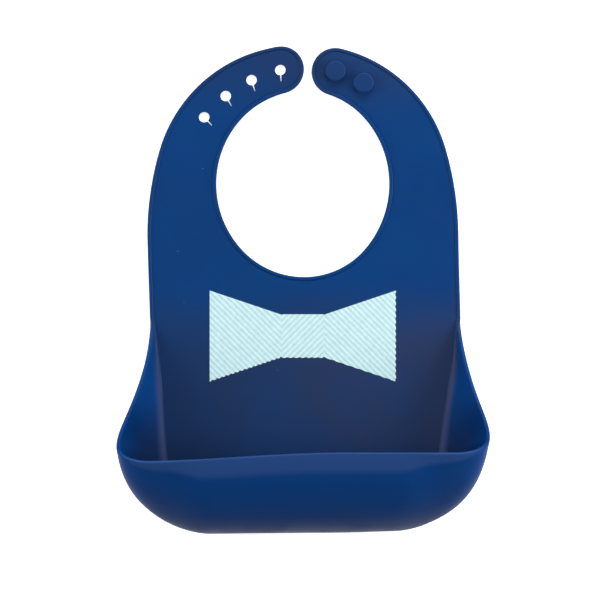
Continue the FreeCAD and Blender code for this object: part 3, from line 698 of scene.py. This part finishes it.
def silicone_material():
    """Matt blue silicone with lint and fine grain, and with painted light: a painted grey reflection and
    painted shade over the lower panel, greying towards the strap ends, painted shade low on the pocket wall,
    and painted highlights on the wall's foot by the crease and along the lip.
    """
    material = principled("silicone", (0.001, 0.042, 0.175), 0.45, IOR=1.41, Specular_IOR_Level=0.16)
    tree = material.node_tree
    shader = tree.nodes["Principled BSDF"]
    place = node(tree, "TexCoord")
    parts = node(tree, "SeparateXYZ")
    tree.links.new(place.outputs["Object"], parts.inputs[0])

    def by_drop(near, far, start, end):
        """A ramp between two distances below the neck's centre, in millimetres."""
        return ramp(tree, parts.outputs["Y"], (NECK.y - near) * MM, (NECK.y - far) * MM, start, end)

    def by_height(low, high, start, end):
        return ramp(tree, parts.outputs["Z"], low * MM, high * MM, start, end)

    def both(one, other):
        return math_node(tree, "MULTIPLY", one, other)

    cloud = ramp(tree, noise(tree, 14, 3), 0.3, 0.7, 0.0, 1.0)
    near_face = by_height(3, 9, 1.0, 0.0)
    # Painted reflection and painted shade: the flat lower panel is greyed in place of the sheen it catches
    # and the weaker light it gets. The strap ends are also greyed, more towards their tips, and both are
    # broken up in random patches.
    lower = both(by_drop(55, 105, 0.0, 1.0), near_face)
    sheen_and_tips = math_node(tree, "ADD", lower, by_drop(-35, -75, 0.0, 0.7))
    sheen_and_tips_patchy = both(sheen_and_tips, ramp(tree, cloud, 0.0, 1.0, 0.65, 1.0))
    own_blue = mix_colours(tree, cloud, (0.0004, 0.046, 0.195), (0.001, 0.041, 0.175))
    # The grey of that painted reflection, greyer towards the right.
    across = ramp(tree, parts.outputs["X"], -0.07, 0.07, 0.0, 1.0)
    sheen_grey = mix_colours(tree, across, (0.012, 0.032, 0.1), (0.022, 0.041, 0.115))
    sheet = mix_colours(tree, sheen_and_tips_patchy, own_blue, sheen_grey)

    # Painted shade: the pocket wall is darker low down, towards the crease, and lighter towards the rim.
    wall_unshaded_part = math_node(tree, "MAXIMUM", by_height(12, 50, 0.0, 1.0), by_drop(120, 165, 1.0, 0.0))
    wall = mix_colours(tree, wall_unshaded_part, (0.0002, 0.016, 0.08), (0.0002, 0.044, 0.2))
    flat_part = math_node(tree, "MAXIMUM", near_face, by_drop(80, 60, 0.0, 1.0))
    dye_and_painted_light = mix_colours(tree, flat_part, wall, sheet)
    # Painted highlight: a purple-grey sheen on the foot of the pocket wall, just above the crease.
    fold = both(both(by_drop(105, 140, 0.0, 1.0), near_face), by_height(2.4, 4, 0.0, 1.0))
    dye_and_painted_light = mix_colours(tree, both(fold, 0.4), dye_and_painted_light, (0.075, 0.085, 0.2))
    # Painted highlight: the top 1.8 mm of the lip is lightened, standing in for light caught along the rim.
    lip = by_height(POCKET_DEPTH - 1.8, POCKET_DEPTH, 0.0, 0.35)
    dye_and_painted_light = mix_colours(tree, lip, dye_and_painted_light, (0.05, 0.1, 0.27))

    lint = node(tree, "TexVoronoi", in_Scale=260)
    tree.links.new(place.outputs["Object"], lint.inputs["Vector"])
    pick = node(tree, "SeparateColor")
    tree.links.new(lint.outputs["Color"], pick.inputs[0])
    rare = ramp(tree, pick.outputs[0], 0.985, 0.99, 0.0, 1.0)
    speck = both(rare, ramp(tree, lint.outputs["Distance"], 0.05, 0.12, 0.4, 0.0))
    tree.links.new(mix_colours(tree, speck, dye_and_painted_light, (0.25, 0.32, 0.42)), shader.inputs["Base Color"])
    tree.links.new(ramp(tree, noise(tree, 60, 4), 0.3, 0.7, 0.38, 0.5), shader.inputs["Roughness"])
    bump(tree, noise(tree, 2600, 3), 0.35, 0.00004)
    return material


def ink_material(name, colour):
    """Screen-printed ink: slightly uneven in tone, with a fine grain."""
    material = principled(name, colour, 0.6, Specular_IOR_Level=0.2)
    tree = material.node_tree
    shader = tree.nodes["Principled BSDF"]
    thin = tuple(0.93 * channel for channel in colour)
    tone = ramp(tree, noise(tree, 350, 4), 0.35, 0.65, 0.0, 1.0)
    tree.links.new(mix_colours(tree, tone, colour, thin), shader.inputs["Base Color"])
    tree.links.new(ramp(tree, noise(tree, 900, 3), 0.3, 0.7, 0.5, 0.7), shader.inputs["Roughness"])
    bump(tree, noise(tree, 3500, 2), 0.3, 0.00003)
    return material


silicone = silicone_material()
light_ink = ink_material("light_ink", (0.727, 0.92, 0.94))
mint_ink = ink_material("mint_ink", (0.49, 0.79, 0.845))


def build_pieces():
    pieces = {}
    for name in sorted(set(skin.piece)):
        used, faces = {}, []
        for face, piece in zip(skin.faces, skin.piece):
            if piece == name:
                faces.append([used.setdefault(i, len(used)) for i in face])
        pieces[name] = mesh_object(f"skin_{name}", [skin.vertices[i] for i in used], faces, silicone)
    return pieces


pieces = build_pieces()


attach(pieces["panel"], "panel")
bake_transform(pieces["pocket"])
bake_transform(pieces["neck"])
for strap in ("holes", "studs"):
    bodies = ["yoke", f"{strap}_root", f"{strap}_middle", f"{strap}_tip"]
    for body, parent, end in zip(bodies[1:], bodies, ("", "_middle", "_tip")):
        joint = joints[f"{strap}_strap_curl{end}"]
        place = about_neck(joint["pos_m"])
        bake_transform(pieces[body])
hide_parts("bib_panel")
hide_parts("pocket_front", "pocket_left_side", "pocket_right_side")
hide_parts("neck_yoke")
for strap in ("holes", "studs"):
    for place in ("root", "middle", "tip"):
        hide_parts(f"{strap}_strap_{place}")

for name, material in (
    ("bow_tie_left_wing", light_ink), ("bow_tie_knot", light_ink), ("bow_tie_right_wing", light_ink),
    ("bow_tie_stripes", mint_ink), ("stud_outer", silicone), ("stud_inner", silicone),
):
    for slot in frame["nodes"][name].material_slots:
        slot.material = material

# ---------------------------------------------------------------- stage, light and camera
low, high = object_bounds()
middle = (Vector(low) + Vector(high)) / 2
bpy.ops.mesh.primitive_plane_add(size=6, location=(middle.x, middle.y, -0.0002))
floor = bpy.context.object
floor.name = "floor"
paper = principled("floor", (0.88, 0.88, 0.9), 0.9, Emission_Color=(1, 1, 1, 1), Emission_Strength=0.7)
floor.data.materials.append(paper)

world = bpy.data.worlds.new("studio")
bpy.context.scene.world = world
world.use_nodes = True
bpy.context.scene.view_settings.view_transform = "Standard"


def dome(tree, base, gain, towards):
    """Even studio light from all round, stronger from one direction."""
    place = tree.nodes.new("ShaderNodeTexCoord")
    lean = tree.nodes.new("ShaderNodeVectorMath")
    lean.operation = "DOT_PRODUCT"
    lean.inputs[1].default_value = Vector(towards).normalized()
    scale = tree.nodes.new("ShaderNodeMath")
    scale.operation = "MULTIPLY_ADD"
    scale.inputs[1].default_value = gain
    scale.inputs[2].default_value = base
    tree.links.new(place.outputs["Generated"], lean.inputs[0])
    tree.links.new(lean.outputs["Value"], scale.inputs[0])
    background = tree.nodes["Background"]
    background.inputs["Color"].default_value = (1, 1, 1, 1)
    tree.links.new(scale.outputs[0], background.inputs["Strength"])


dome(world.node_tree, 0.42, 0.25, (0.1, 0.95, 0.1))


def softbox(name, place, size, power, aim=(0, 0, 0)):
    light = bpy.data.lights.new(name, "AREA")
    light.shape = "RECTANGLE"
    light.size, light.size_y = size
    light.energy = power
    obj = bpy.data.objects.new(name, light)
    bpy.context.collection.objects.link(obj)
    obj.location = place
    obj.rotation_euler = (Vector(aim) - Vector(place)).to_track_quat("-Z", "Y").to_euler()
    return obj


softbox("key", (0.1, 0.9, 0.6), (0.7, 0.35), 4)
softbox("left", (-0.9, 0.1, 0.35), (0.5, 0.8), 5)
softbox("right", (0.9, 0.0, 0.35), (0.5, 0.8), 8)

camera_data = bpy.data.cameras.new("camera")
camera = bpy.data.objects.new("camera", camera_data)
bpy.context.collection.objects.link(camera)
CAMERA_HEIGHT = 1.2
VIEW_WIDTH = 0.36984
camera_data.sensor_width = 36
camera_data.lens = 36 * CAMERA_HEIGHT / VIEW_WIDTH
camera.location = (middle.x - 0.0019, middle.y - 0.0069, CAMERA_HEIGHT)
bpy.context.scene.camera = camera
